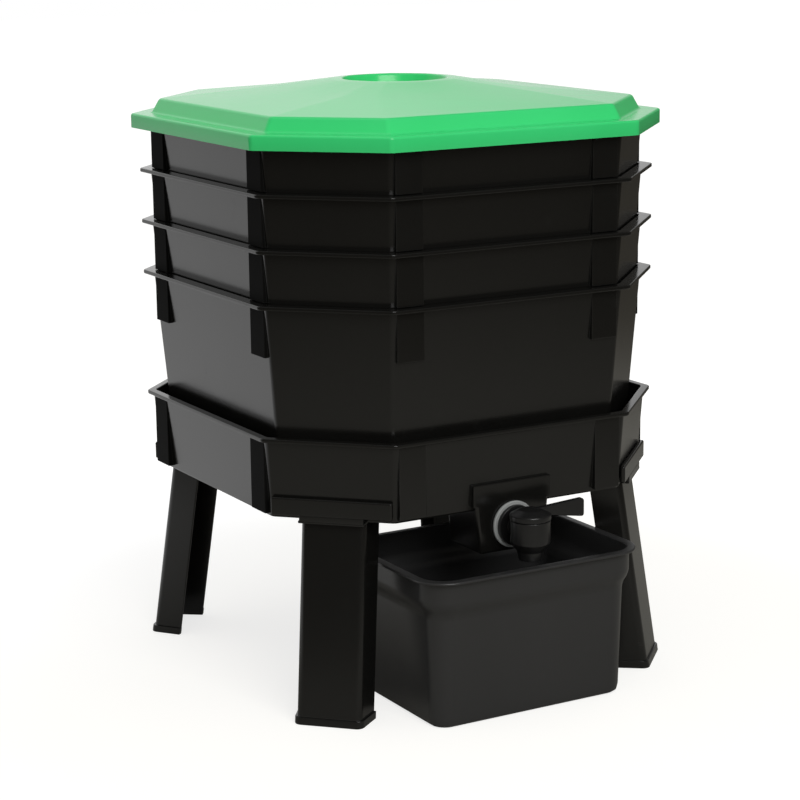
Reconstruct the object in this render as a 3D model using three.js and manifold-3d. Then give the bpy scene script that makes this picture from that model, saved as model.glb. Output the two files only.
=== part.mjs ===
// A wormery: four nesting worm trays over a reservoir bin on four legs, with a lid, a drain tap
// at the front and a loose collection tray under the tap.
// Millimetres, +Z up, the tap side faces -Y. Heights are measured from the ground.

import * as THREE from 'three';
import { mergeVertices } from 'three/addons/utils/BufferGeometryUtils.js';
import Module from 'manifold-3d';

const wasm = await Module();
wasm.setup();

// Shared clearances, cuts and facets
const seatGap = 0.3; // between two pieces that rest on each other
const turnGap = 0.3; // round a piece that turns in another
const overrun = 6; // how far a cut or a joined root runs past the wall it meets
const cornerSteps = 1; // facets of one rounded outline corner
const sideSteps = 3; // facets along a side that blends into a circle
const roundSides = 20; // facets of a round piece
const holeSides = 6; // facets of a drain hole

// The octagonal outline that trays, bin and lid share
const flangeHalf = 209; // from the axis to one side of a flange
const flangeCut = 86; // how much each corner takes off a side
const outlineRadius = 7; // rounding of the eight upright edges

// Worm trays
const trayCount = 4;
const trayPitch = 48.6; // each tray stands this much above the one it nests in
const trayHeight = 150; // underside of the floor to the top of the flange
const trayLip = 9; // how far the flange stands out from the wall
const trayFlange = 4; // thickness of the flange
const trayWall = 2.4;
const trayFloor = 2.5;
const trayTaperShare = 0.08; // inward run of the wall for each unit of depth
const trayFootRadius = 6; // rounding between wall and floor
const postWidth = 27; // stacking posts beside the upright edges
const postInset = 4.5; // from a post to the upright edge beside it
const postRoot = 12; // how deep a post is sunk in the wall before the inside is cut
const holeRadius = 3.4;
const holePitch = 42;
const holeMargin = 12; // bare floor left beside the wall

// Reservoir bin
const binHeight = 73.1;
const binLip = 5; // how far its flange stands out from the wall
const binFlange = 4;
const binWall = 2.6;
const binTaperShare = 0.073;
const binEdge = 2; // chamfer of the lower edge
const binFloor = 3;
const binFloorRise = 16.4; // from the wall's lower edge to the top of the floor
const binPostFoot = 3; // the bin's posts stop this far above its lower edge
const ribThick = 3; // ribs that carry the lowest tray
const ribReach = 40; // from the wall towards the middle
const ribOffset = 72; // from the middle of each side
const ribRise = 24; // from the floor to the lowest tray's seat

// Sump under the front of the bin's floor
const sumpDrop = 40.1; // from the wall's lower edge down to the sump's underside
const sumpHalf = 41; // half width at the top
const sumpDraw = 7; // how much narrower each side is at the bottom
const sumpDepth = 52; // front to back
const sumpPanelRise = 24.4; // its front panel runs out on the wall this far above the lower edge
const sumpWall = 3;

// Legs
const legShoulder = 182.3; // the bin's wall stands on this level of each leg
const legSplay = 19; // how much farther out the foot stands than the shoulder
const legHalf = 29.5; // half width of the outer face
const legFlare = 4.5; // how much wider the open inner side is, each side
const legDepth = 30;
const legWall = 3;
const legRim = 1.8; // the foot's rim stands out this much
const legRimHeight = 7;
const headThick = 4.8; // plate of the head, outside the bin's corner wall
const headInset = 1.6; // from each end of the head to the wall's upright edge
const headRise = 3.9; // from the shoulder to the head
const headHeight = 16.2;
const tongueGap = 1; // from the inner side walls to the floor above them

// Lid
const lidWall = 2.6;
const lidPlay = 3.4; // from the top tray's flange to the inside of the skirt
const lidCutMore = 2.5; // how much more each corner takes off than on a flange
const lidSkirt = 10.5; // how far the skirt hangs below the top tray's flange
const lidEdge = 1.6; // rounding of the skirt's upper edge
const tierInset = 18; // from the skirt to the foot of the raised tier
const tierLean = 7; // how much the tier's wall leans inwards
const tierRise = 13.2;
const tierEdge = 1.5;
const crownRise = 18; // from the tier's top to the rim of the hand recess
const crownMidHalf = 106;
const crownMidRiseShare = 0.53;
const crownMidRoundShare = 0.45;
const brimWidth = 13; // nearly level ring round the hand recess
const brimRiseShare = 0.95;
const recessRadius = 49;
const recessDraft = 3;
const recessDepth = 13;

// Drain tap
const inletRadius = 10;
const inletBore = 6.5;
const inletLength = 22; // behind the sump's front face
const washerRadius = 21.5;
const washerThick = 3;
const innerWasherRadius = 16.5;
const innerWasherThick = 2.4;
const tapCollarRadius = 18.5;
const tapCollarThick = 4;
const nutRadius = 18; // across its corners
const nutThick = 8;
const nutSides = 6;
const nutGap = 3.5; // from the nut to the sump's floor, for a spanner
const barrelRadius = 18;
const barrelRise = 10.4; // from the inlet's axis to the barrel's top
const barrelDrop = 10; // the barrel draws in to the spout below this
const spoutRadius = 12;
const spoutStart = 18; // from the inlet's axis down to the straight spout
const spoutTipRadius = 10.6;
const spoutHang = 1.5; // the spout ends this far below the sump
const spoutBore = 7;
const plugRadius = 12;
const plugBore = 7;
const plugPort = 4.5;
const plugDrop = 8.5; // from the inlet's axis to the plug's seat
const sealRadius = 1.2; // section of the plug's ring
const sealDrop = 2.4; // from the barrel's top to the ring
const capRadius = 18.5; // the plug's head
const capThick = 5;
const capGap = 2.9; // from the plug's head to the collar
const hubRadius = 10;
const hubRise = 9.3; // from the underside of the plug's head to its top
const leverLength = 56; // from the barrel's axis to the lever's end
const leverThick = 6;
const leverRootRise = 1.3; // from the underside of the head to the lever's lower edge there
const leverTipDrop = 4.9; // the lever's end reaches this far below the head
const leverTipRise = 12.5; // and this far above its underside
const leverTipRadius = 3;

// Collection tray
const panClear = 2.5; // from its rim up to the spout
const panSideGap = 5.8; // from its rim to the legs on either side
const panAhead = 50; // from the bin's front wall forward to the front of the rim
const panLength = 176; // front to back over the rim
const panLip = 6; // how far the rim stands out from the upper band
const panRim = 3;
const panStep = 6; // from the upper band in to the body
const panBandDrop = 24.5; // from the rim down to the band's lower edge
const panStepDrop = 10; // height of the slope between band and body
const panDraft = 3; // how much the body narrows, each side, down to its foot
const panWall = 2.4;
const panFloor = 2.6;
const panRadius = 32; // plan rounding of the rim
const panFootRadius = 7;
const panFootRun = 4.2; // how far the foot's rounding runs in under the body
const panSteps = 5; // facets of one rounded corner

const quarter = Math.PI / 2;
const eighth = Math.PI / 4;
const root2 = Math.SQRT2;
const bendShare = 0.3; // of a radius, at the middle of a quarter bend

// Levels and reaches that follow: the legs carry the bin, its ribs carry the trays, and the trays the lid
const binBottom = legShoulder + seatGap;
const binTop = binBottom + binHeight;
const binFloorTop = binBottom + binFloorRise;
const binHalf = flangeHalf - binLip;
const headLow = legShoulder + headRise;
const headTop = headLow + headHeight;
const headHalf = cutFor(binWallAt(headTop), flangeHalf, flangeCut) / root2 - headInset;
const legTop = cornerReach(binWallAt(headTop)) + seatGap + headThick;
const legFoot = legTop + legSplay;
const lowTrayBase = binFloorTop + ribRise + seatGap;
const stackTop = lowTrayBase + trayHeight + trayPitch * (trayCount - 1);
const lidHalf = flangeHalf + lidPlay + lidWall;
const lidCut = flangeCut + lidCutMore;

// The tap is set by the sump, and the collection tray by the tap, the bin and the legs
const sumpBottom = binBottom - sumpDrop;
const sumpPanelTop = binBottom + sumpPanelRise;
const sumpFront = -binHalf;
const tapHeight = sumpBottom + sumpWall + nutGap + nutRadius;
const collarFront = sumpFront - seatGap - washerThick - seatGap;
const barrelY = collarFront - tapCollarThick - capGap - capRadius;
const barrelTop = tapHeight + barrelRise;
const plugSeat = tapHeight - plugDrop;
const headUnder = barrelTop + seatGap;
const spoutBottom = sumpBottom - spoutHang;
const panTop = spoutBottom - panClear;
const panBandBottom = panTop - panBandDrop;
const panBodyTop = panBandBottom - panStepDrop;
const panHalf = gapBetweenLegs(panTop) - panSideGap;
const panFront = binHalf + panAhead;
const panBack = panFront - panLength;

const black = { color: 0x1b1b1a, roughness: 0.3, metalness: 0 };
const green = { color: 0x2fae5c, roughness: 0.28, metalness: 0 };
const darkGrey = { color: 0x2c2c2c, roughness: 0.4, metalness: 0 };
const rubber = { color: 0x9a9b98, roughness: 0.6, metalness: 0 };
const tapBlack = { color: 0x161616, roughness: 0.35, metalness: 0 };

// A closed geometry becomes a solid that can be joined and cut
function toSolid(geometry) {
  const bare = new THREE.BufferGeometry();
  bare.setAttribute('position', geometry.getAttribute('position').clone());
  if (geometry.index) bare.setIndex(geometry.index);
  const merged = mergeVertices(bare);
  return new wasm.Manifold(new wasm.Mesh({
    numProp: 3,
    vertProperties: new Float32Array(merged.getAttribute('position').array),
    triVerts: new Uint32Array(merged.index.array),
  }));
}

function toGeometry(solid) {
  const mesh = solid.getMesh();
  const geometry = new THREE.BufferGeometry();
  geometry.setAttribute('position', new THREE.BufferAttribute(new Float32Array(mesh.vertProperties), 3));
  geometry.setIndex(new THREE.BufferAttribute(new Uint32Array(mesh.triVerts), 1));
  geometry.computeVertexNormals();
  return geometry;
}

function joinAll(solids) {
  return solids.reduce((whole, solid) => whole.add(solid));
}

function cutAll(solid, cutters) {
  return cutters.reduce((rest, cutter) => rest.subtract(cutter), solid);
}

// A solid through closed rings of points, from the lowest ring to the highest
function loft(rings) {
  const count = rings[0].length;
  const points = rings.flat();
  const flat = (ring) => ring.map((point) => new THREE.Vector2(point.x, point.y));
  const index = [];
  for (let level = 0; level < rings.length - 1; level += 1) {
    for (let at = 0; at < count; at += 1) {
      const next = (at + 1) % count;
      const low = level * count;
      const high = low + count;
      index.push(low + at, low + next, high + next, low + at, high + next, high + at);
    }
  }
  const last = (rings.length - 1) * count;
  for (const [a, b, c] of THREE.ShapeUtils.triangulateShape(flat(rings[0]), [])) index.push(c, b, a);
  for (const [a, b, c] of THREE.ShapeUtils.triangulateShape(flat(rings[rings.length - 1]), [])) {
    index.push(last + a, last + b, last + c);
  }
  const geometry = new THREE.BufferGeometry();
  geometry.setFromPoints(points);
  geometry.setIndex(index);
  return toSolid(geometry);
}

// Rounds the corners of a counter-clockwise outline
function roundCorners(corners, radius, steps) {
  const outline = [];
  corners.forEach((corner, at) => {
    const before = corners[(at + corners.length - 1) % corners.length];
    const after = corners[(at + 1) % corners.length];
    const back = before.clone().sub(corner).normalize();
    const ahead = after.clone().sub(corner).normalize();
    const half = Math.acos(THREE.MathUtils.clamp(back.dot(ahead), -1, 1)) / 2;
    const inward = back.clone().add(ahead).normalize();
    const centre = corner.clone().addScaledVector(inward, radius / Math.sin(half));
    const sweep = Math.PI - half * 2;
    const start = Math.atan2(-inward.y, -inward.x) - sweep / 2;
    for (let step = 0; step <= steps; step += 1) {
      const angle = start + (sweep * step) / steps;
      const arm = new THREE.Vector2(Math.cos(angle), Math.sin(angle));
      outline.push(centre.clone().addScaledVector(arm, radius));
    }
  });
  return outline;
}

function octagon(half, cut) {
  const side = half - cut;
  return [
    [half, -side], [half, side], [side, half], [-side, half],
    [-half, side], [-half, -side], [-side, -half], [side, -half],
  ].map(([x, y]) => new THREE.Vector2(x, y));
}

// The corner cut that keeps all eight sides moving in by the same amount
function cutFor(half, outerHalf, outerCut) {
  return outerCut - (outerHalf - half) * (2 - root2);
}

function octagonRing(half, z, outerHalf = flangeHalf, outerCut = flangeCut) {
  const corners = octagon(half, cutFor(half, outerHalf, outerCut));
  const outline = roundCorners(corners, outlineRadius, cornerSteps);
  return outline.map((point) => new THREE.Vector3(point.x, point.y, z));
}

// Adds points along the long sides of an octagon's ring, so that it can blend into a circle
function splitSides(ring) {
  const split = [];
  ring.forEach((point, at) => {
    split.push(point);
    if (at % (cornerSteps + 1) < cornerSteps) return;
    const next = ring[(at + 1) % ring.length];
    for (let step = 1; step < sideSteps; step += 1) {
      split.push(point.clone().lerp(next, step / sideSteps));
    }
  });
  return split;
}

// Distance from the axis to a corner side of the octagon
function cornerReach(half) {
  return (half * 2 - cutFor(half, flangeHalf, flangeCut)) / root2;
}

// Half width of the bin over its tapered wall at one level
function binWallAt(z) {
  return binHalf - (binTop - z) * binTaperShare;
}

function legReachAt(z) {
  return legFoot - (legSplay * z) / legShoulder;
}

// From the middle plane to the inner corner of a leg
function gapBetweenLegs(z) {
  return (legReachAt(z) - legDepth - legHalf - legFlare) / root2;
}

function boxSolid(low, high) {
  const size = high.clone().sub(low);
  const middle = low.clone().add(high).multiplyScalar(0.5);
  const box = new THREE.BoxGeometry(size.x, size.y, size.z);
  box.translate(middle.x, middle.y, middle.z);
  return toSolid(box);
}

// A turned solid about +Z: the profile holds [radius, height] pairs
function turned(profile, sides = roundSides) {
  const points = profile.map(([radius, height]) => new THREE.Vector2(radius, height));
  return new THREE.LatheGeometry(points, sides);
}

function rod(radius, low, high, sides = roundSides) {
  return turned([[0, low], [radius, low], [radius, high], [0, high]], sides);
}

function ringTurned(inner, outer, low, high, sides = roundSides) {
  return turned([[inner, low], [outer, low], [outer, high], [inner, high], [inner, low]], sides);
}

// A lathe turns about +Y, so its axis is laid along +Z or towards the back of the bin
function upright(geometry, x, y) {
  geometry.rotateX(quarter);
  geometry.translate(x, y, 0);
  return toSolid(geometry);
}

function alongBack(geometry, z) {
  geometry.translate(0, 0, z);
  return toSolid(geometry);
}

// Stacking posts: upright pads beside the eight edges that the tapered wall draws away from
function stackingPosts(half, low, high) {
  const side = half - cutFor(half, flangeHalf, flangeCut);
  const far = side - postInset;
  const near = far - postWidth;
  const posts = [];
  for (let face = 0; face < 4; face += 1) {
    for (const sign of [-1, 1]) {
      const post = new THREE.BoxGeometry(postRoot, postWidth, high - low);
      post.translate(half - postRoot / 2, (sign * (near + far)) / 2, (low + high) / 2);
      post.rotateZ(quarter * face);
      posts.push(toSolid(post));
    }
  }
  return posts;
}

// One worm tray, measured from the top of its flange
function trayGeometry() {
  const wallTop = flangeHalf - trayLip;
  const wallAt = (depth) => wallTop - depth * trayTaperShare;
  const foot = wallAt(trayHeight);
  const shell = loft([
    octagonRing(foot - trayFootRadius, -trayHeight),
    octagonRing(foot - trayFootRadius * bendShare, -trayHeight + trayFootRadius * bendShare),
    octagonRing(wallAt(trayHeight - trayFootRadius), -trayHeight + trayFootRadius),
    octagonRing(wallTop, 0),
  ]);
  const flange = loft([octagonRing(flangeHalf, -trayFlange), octagonRing(flangeHalf, 0)]);
  const posts = stackingPosts(wallTop, -trayPitch + seatGap, -trayFlange / 2);
  const inside = loft([
    octagonRing(foot - trayWall - trayFootRadius, -trayHeight + trayFloor),
    octagonRing(wallAt(trayHeight - trayFootRadius) - trayWall, trayFloor + trayFootRadius - trayHeight),
    octagonRing(wallTop - trayWall, 0),
    octagonRing(wallTop - trayWall, overrun),
  ]);
  const solid = joinAll([shell, flange, ...posts]).subtract(inside);
  return toGeometry(cutAll(solid, drainHoles(foot - trayFootRadius - holeMargin)));
}

// Drain holes that worms climb through, on a square grid inside the octagonal floor
function drainHoles(half) {
  const across = Math.floor(half / holePitch);
  const reach = cornerReach(half) * root2;
  const low = -trayHeight - overrun;
  const high = -trayHeight + trayFloor + overrun;
  const holes = [];
  for (let column = -across; column <= across; column += 1) {
    for (let row = -across; row <= across; row += 1) {
      const x = column * holePitch;
      const y = row * holePitch;
      if (Math.abs(x) + Math.abs(y) > reach) continue;
      holes.push(upright(rod(holeRadius, low, high, holeSides), x, y));
    }
  }
  return holes;
}

// The reservoir bin with its floor, sump, ribs and posts
function binGeometry() {
  const shell = loft([
    octagonRing(binWallAt(binBottom) - binEdge / 2, binBottom),
    octagonRing(binWallAt(binBottom + binEdge), binBottom + binEdge),
    octagonRing(binHalf, binTop),
  ]);
  const flange = loft([octagonRing(flangeHalf, binTop - binFlange), octagonRing(flangeHalf, binTop)]);
  const posts = stackingPosts(binHalf, binBottom + binPostFoot, binTop - binFlange / 2);
  const inside = loft([
    octagonRing(binWallAt(binFloorTop) - binWall, binFloorTop),
    octagonRing(binHalf - binWall, binTop),
    octagonRing(binHalf - binWall, binTop + overrun),
  ]);
  const underHalf = binWallAt(binBottom) - binWall - binEdge / 2;
  const underTop = binFloorTop - binFloor;
  const under = loft([
    octagonRing(underHalf, binBottom - overrun),
    octagonRing(underHalf, binBottom),
    octagonRing(binWallAt(underTop) - binWall, underTop),
  ]);
  const hollow = joinAll([shell, flange, ...posts]).subtract(inside).subtract(under);
  return toGeometry(addSump(joinAll([hollow, ...supportRibs()])));
}

// Two ribs on each side carry the floor of the lowest tray
function supportRibs() {
  const low = binFloorTop - binFloor / 2;
  const high = binFloorTop + ribRise;
  const outer = binWallAt(binFloorTop) - binWall / 2;
  const ribs = [];
  for (let face = 0; face < 4; face += 1) {
    for (const sign of [-1, 1]) {
      const rib = new THREE.BoxGeometry(ribReach, ribThick, high - low);
      rib.translate(outer - ribReach / 2, sign * ribOffset, (low + high) / 2);
      rib.rotateZ(quarter * face);
      ribs.push(toSolid(rib));
    }
  }
  return ribs;
}

function sumpLoft(inset, low, high) {
  const ring = (z) => {
    const drawnShare = (sumpPanelTop - z) / (sumpPanelTop - sumpBottom);
    const half = sumpHalf - sumpDraw * drawnShare - inset;
    const near = sumpFront + inset;
    const back = sumpFront + sumpDepth - inset;
    return [[-half, near], [half, near], [half, back], [-half, back]]
      .map(([x, y]) => new THREE.Vector3(x, y, z));
  };
  return loft([ring(low), ring(high)]);
}

// The sump hangs under the floor, and its front panel stands ahead of the bin's wall
function addSump(bin) {
  const box = sumpLoft(0, sumpBottom, binFloorTop);
  const panel = boxSolid(
    new THREE.Vector3(-sumpHalf, sumpFront, binFloorTop - binFloor),
    new THREE.Vector3(sumpHalf, -binWallAt(binBottom) + binWall / 2, sumpPanelTop),
  );
  const well = sumpLoft(sumpWall, sumpBottom + sumpWall, binFloorTop + overrun);
  const frontWall = boxSolid(
    new THREE.Vector3(-flangeHalf, sumpFront - overrun, binFloorTop),
    new THREE.Vector3(flangeHalf, -binWallAt(binFloorTop) + binWall, binTop),
  );
  const hole = alongBack(
    rod(inletRadius + seatGap, sumpFront - overrun, sumpFront + sumpWall + overrun),
    tapHeight,
  );
  return joinAll([bin, box, panel]).subtract(well.subtract(frontWall)).subtract(hole);
}

// A leg's section at one level: a channel that opens towards the axis of the bin
function channelRing(reach, z, rim) {
  const half = legHalf + rim;
  const open = half + legFlare;
  const back = reach - legDepth;
  const thick = legWall + rim;
  return [
    [reach + rim, -half], [reach + rim, half], [back, open], [back, open - thick],
    [reach - legWall, half - thick], [reach - legWall, -half + thick], [back, -open + thick], [back, -open],
  ].map(([x, y]) => new THREE.Vector3(x, y, z));
}

// One leg, with +X pointing outwards from the axis of the bin
function legGeometry() {
  const tongueTop = binFloorTop - binFloor - tongueGap;
  const channel = loft([channelRing(legFoot, 0, 0), channelRing(legTop, legShoulder, 0)]);
  const rim = loft([
    channelRing(legFoot, 0, legRim),
    channelRing(legReachAt(legRimHeight), legRimHeight, legRim),
  ]);
  const tongue = loft([channelRing(legTop, legShoulder, 0), channelRing(legTop, tongueTop, 0)]);
  const plateBack = cornerReach(binWallAt(binBottom));
  const neck = boxSolid(
    new THREE.Vector3(plateBack, -legHalf, legShoulder),
    new THREE.Vector3(legTop, legHalf, headTop),
  );
  const head = boxSolid(
    new THREE.Vector3(plateBack, -headHalf, headLow),
    new THREE.Vector3(legTop, headHalf, headTop),
  );
  return toGeometry(joinAll([channel, rim, tongue, neck, head]).subtract(binWallSlot()));
}

// The slot in a leg's head that the bin's corner wall stands in
function binWallSlot() {
  const across = headHalf + overrun;
  const ring = (z) => {
    const wall = cornerReach(binWallAt(z));
    const inner = wall - binWall - binEdge / 2 - seatGap;
    const outer = wall + seatGap;
    return [[inner, -across], [outer, -across], [outer, across], [inner, across]]
      .map(([x, y]) => new THREE.Vector3(x, y, z));
  };
  return loft([ring(binBottom - seatGap), ring(headTop + overrun)]);
}

// A ring between an octagon and a circle of the same reach
function blendRing(half, z, roundShare) {
  const outer = splitSides(octagonRing(lidHalf, z, lidHalf, lidCut));
  const sided = roundShare < 1 ? splitSides(octagonRing(half, z, lidHalf, lidCut)) : outer;
  return sided.map((point, at) => {
    const angle = Math.atan2(outer[at].y, outer[at].x);
    const round = new THREE.Vector3(Math.cos(angle) * half, Math.sin(angle) * half, z);
    return point.lerp(round, roundShare);
  });
}

// The lid: a skirt over the top tray's flange, a raised tier and a low crown with a hand recess
function lidGeometry() {
  const skirtBottom = stackTop - lidSkirt;
  const ledge = stackTop + seatGap + lidWall;
  const tierTop = ledge + tierRise;
  const rim = tierTop + crownRise;
  const tierFoot = lidHalf - tierInset;
  const tierHalf = tierFoot - tierLean;
  const rings = (inset, drop) => [
    blendRing(lidHalf - inset - lidEdge, ledge - drop, 0),
    blendRing(tierFoot - inset, ledge - drop, 0),
    blendRing(tierHalf - inset, tierTop - tierEdge - drop, 0),
    blendRing(tierHalf - tierEdge - inset, tierTop - drop, 0),
    blendRing(crownMidHalf, tierTop + crownRise * crownMidRiseShare - drop, crownMidRoundShare),
    blendRing(recessRadius + brimWidth, tierTop + crownRise * brimRiseShare - drop, 1),
    blendRing(recessRadius, rim - drop, 1),
  ];
  const outside = loft([
    blendRing(lidHalf, skirtBottom, 0),
    blendRing(lidHalf, ledge - lidEdge, 0),
    ...rings(0, 0),
  ]);
  const inside = loft([
    blendRing(lidHalf - lidWall, skirtBottom - overrun, 0),
    blendRing(lidHalf - lidWall, ledge - lidWall - lidEdge / 2, 0),
    ...rings(lidWall, lidWall),
  ]);
  const floor = rim - recessDepth;
  const dish = loft([
    blendRing(recessRadius - recessDraft, floor, 1),
    blendRing(recessRadius, rim, 1),
    blendRing(recessRadius, rim + overrun, 1),
  ]);
  const dishShell = loft([
    blendRing(recessRadius - recessDraft + lidWall, floor - lidWall, 1),
    blendRing(recessRadius + lidWall, rim, 1),
    blendRing(recessRadius + lidWall, rim + overrun, 1),
  ]);
  return toGeometry(outside.subtract(inside.subtract(dishShell)).subtract(dish));
}

// Sealing washers and backnut on the inlet, and the ring that seals the plug
function outerWasherGeometry() {
  const far = sumpFront - seatGap;
  const washer = ringTurned(inletRadius + seatGap, washerRadius, far - washerThick, far);
  return toGeometry(alongBack(washer, tapHeight));
}

function innerWasherGeometry() {
  const near = sumpFront + sumpWall + seatGap;
  const far = near + innerWasherThick;
  const washer = ringTurned(inletRadius + seatGap, innerWasherRadius, near, far);
  return toGeometry(alongBack(washer, tapHeight));
}

function backnutGeometry() {
  const near = sumpFront + sumpWall + seatGap + innerWasherThick + seatGap;
  const nut = alongBack(rod(nutRadius, near, near + nutThick, nutSides), tapHeight);
  const bore = alongBack(rod(inletRadius + seatGap, near - overrun, near + nutThick + overrun), tapHeight);
  return toGeometry(nut.subtract(bore));
}

// The tap's body: inlet, collar, barrel and spout in one moulding
function tapBodyGeometry() {
  const inlet = alongBack(rod(inletRadius, barrelY, sumpFront + inletLength), tapHeight);
  const collar = alongBack(rod(tapCollarRadius, collarFront - tapCollarThick, collarFront), tapHeight);
  const barrel = upright(turned([
    [0, spoutBottom], [spoutTipRadius, spoutBottom], [spoutRadius, tapHeight - spoutStart],
    [barrelRadius, tapHeight - barrelDrop], [barrelRadius, barrelTop], [0, barrelTop],
  ]), 0, barrelY);
  const plugSpace = upright(rod(plugRadius + turnGap, plugSeat, barrelTop + overrun), 0, barrelY);
  const outlet = upright(rod(spoutBore, spoutBottom - overrun, plugSeat + overrun), 0, barrelY);
  const bore = alongBack(rod(inletBore, barrelY, sumpFront + inletLength + overrun), tapHeight);
  return toGeometry(cutAll(joinAll([inlet, collar, barrel]), [plugSpace, outlet, bore]));
}

// The plug: hollow from below, with a side port that meets the inlet when the lever is turned,
// and a head that carries the lever
function plugGeometry() {
  const base = plugSeat + seatGap;
  const hubTop = headUnder + hubRise;
  const plug = upright(turned([
    [0, base], [plugRadius, base], [plugRadius, headUnder], [capRadius, headUnder],
    [capRadius, headUnder + capThick], [hubRadius, hubTop], [0, hubTop],
  ]), 0, barrelY);
  const hollow = upright(rod(plugBore, base - overrun, tapHeight + plugPort), 0, barrelY);
  const port = rod(plugPort, 0, plugRadius + overrun);
  port.rotateZ(quarter);
  port.translate(0, barrelY, tapHeight);
  const ring = barrelTop - sealDrop;
  const groove = upright(ringTurned(
    plugRadius - sealRadius * 2, plugRadius + overrun, ring - sealRadius, ring + sealRadius,
  ), 0, barrelY);
  return toGeometry(cutAll(plug.add(leverArm()), [hollow, toSolid(port), groove]));
}

// The lever's arm: an upright fin that grows taller towards its end
function leverArm() {
  const rootLow = headUnder + leverRootRise;
  const tipLow = headUnder - leverTipDrop;
  const tipTop = headUnder + leverTipRise;
  const arm = new THREE.Shape();
  arm.moveTo(0, rootLow);
  arm.lineTo(capRadius, rootLow);
  arm.lineTo(leverLength - leverTipRadius, tipLow);
  arm.lineTo(leverLength, tipLow + leverTipRadius);
  arm.lineTo(leverLength, tipTop - leverTipRadius);
  arm.lineTo(leverLength - leverTipRadius, tipTop);
  arm.lineTo(0, headUnder + hubRise);
  const fin = new THREE.ExtrudeGeometry(arm, { depth: leverThick, bevelEnabled: false, steps: 1 });
  fin.translate(0, 0, -leverThick / 2);
  fin.rotateX(quarter);
  fin.translate(0, barrelY, 0);
  return toSolid(fin);
}

function plugSealGeometry() {
  const ring = barrelTop - sealDrop;
  const inner = plugRadius - sealRadius * 2 + seatGap;
  const half = sealRadius - seatGap;
  return toGeometry(upright(ringTurned(inner, plugRadius, ring - half, ring + half), 0, barrelY));
}

// The collection tray: a body, a wider upper band and a rim
function panRing(inset, z) {
  const half = panHalf - inset;
  const deep = panLength / 2 - inset;
  const corners = [[half, -deep], [half, deep], [-half, deep], [-half, -deep]];
  const outline = roundCorners(
    corners.map(([x, y]) => new THREE.Vector2(x, y - (panFront + panBack) / 2)),
    panRadius - inset,
    panSteps,
  );
  return outline.map((point) => new THREE.Vector3(point.x, point.y, z));
}

function panGeometry() {
  const band = panLip;
  const body = band + panStep;
  const foot = body + panDraft;
  const rings = (wall, low) => [
    panRing(foot + wall + panFootRun, low),
    panRing(foot + wall, low + panFootRadius),
    panRing(body + wall, panBodyTop),
    panRing(band + wall, panBandBottom),
  ];
  const outside = loft([...rings(0, 0), panRing(band, panTop)]);
  const inside = loft([...rings(panWall, panFloor), panRing(band + panWall, panTop + overrun)]);
  const rim = loft([panRing(0, panTop - panRim), panRing(0, panTop)]);
  return toGeometry(outside.add(rim).subtract(inside));
}

function piece(name, geometry, finish, place = {}) {
  const mesh = new THREE.Mesh(geometry, new THREE.MeshStandardMaterial(finish));
  mesh.name = name;
  mesh.position.z = place.z ?? 0;
  mesh.rotation.z = place.turned ?? 0;
  return mesh;
}

const wormery = new THREE.Group();
wormery.add(piece('base_bin', binGeometry(), black));

const trayShape = trayGeometry();
for (let tray = 1; tray <= trayCount; tray += 1) {
  wormery.add(piece(`worm_tray_${tray}`, trayShape, black, { z: stackTop - trayPitch * (tray - 1) }));
}
wormery.add(piece('lid', lidGeometry(), green));

const legShape = legGeometry();
const legNames = ['back_right_leg', 'back_left_leg', 'front_left_leg', 'front_right_leg'];
legNames.forEach((name, at) => {
  wormery.add(piece(name, legShape, black, { turned: eighth + quarter * at }));
});

wormery.add(piece('tap_body', tapBodyGeometry(), tapBlack));
wormery.add(piece('tap_outer_washer', outerWasherGeometry(), rubber));
wormery.add(piece('tap_inner_washer', innerWasherGeometry(), rubber));
wormery.add(piece('tap_backnut', backnutGeometry(), tapBlack));
wormery.add(piece('tap_plug', plugGeometry(), tapBlack));
wormery.add(piece('tap_plug_seal', plugSealGeometry(), rubber));
wormery.add(piece('collection_tray', panGeometry(), darkGrey));

// The origin lies on the ground under the middle of the whole part's box
const part = new THREE.Group();
wormery.position.y = (panFront - lidHalf) / 2;
part.add(wormery);
part.updateMatrixWorld(true);

export default part;
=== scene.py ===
from math import cos, pi, radians, sin, sqrt, tan

import bmesh
import bpy
from mathutils import Matrix, Vector


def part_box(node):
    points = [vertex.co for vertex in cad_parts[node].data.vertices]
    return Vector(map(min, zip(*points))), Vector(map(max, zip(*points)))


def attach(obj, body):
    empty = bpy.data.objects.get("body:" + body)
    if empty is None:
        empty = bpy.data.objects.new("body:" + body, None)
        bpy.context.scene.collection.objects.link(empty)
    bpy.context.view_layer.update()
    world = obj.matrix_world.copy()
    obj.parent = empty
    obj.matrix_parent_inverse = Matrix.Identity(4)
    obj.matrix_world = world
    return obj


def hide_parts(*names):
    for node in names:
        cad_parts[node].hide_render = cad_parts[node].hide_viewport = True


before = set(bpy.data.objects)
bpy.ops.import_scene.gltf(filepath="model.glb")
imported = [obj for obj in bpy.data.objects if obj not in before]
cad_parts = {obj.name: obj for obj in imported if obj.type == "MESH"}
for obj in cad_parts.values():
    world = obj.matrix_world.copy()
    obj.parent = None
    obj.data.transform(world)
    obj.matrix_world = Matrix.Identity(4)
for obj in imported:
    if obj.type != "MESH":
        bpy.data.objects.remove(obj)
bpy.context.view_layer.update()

# The reservoir bin: one glossy black polypropylene moulding with an outward flange, a flat
# floor, upright posts at the ends of its four broad walls, ribs that carry the lowest tray, and
# a sump under its front. The hole for the tap is drilled through the sump afterwards.
mm = 0.001


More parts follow.
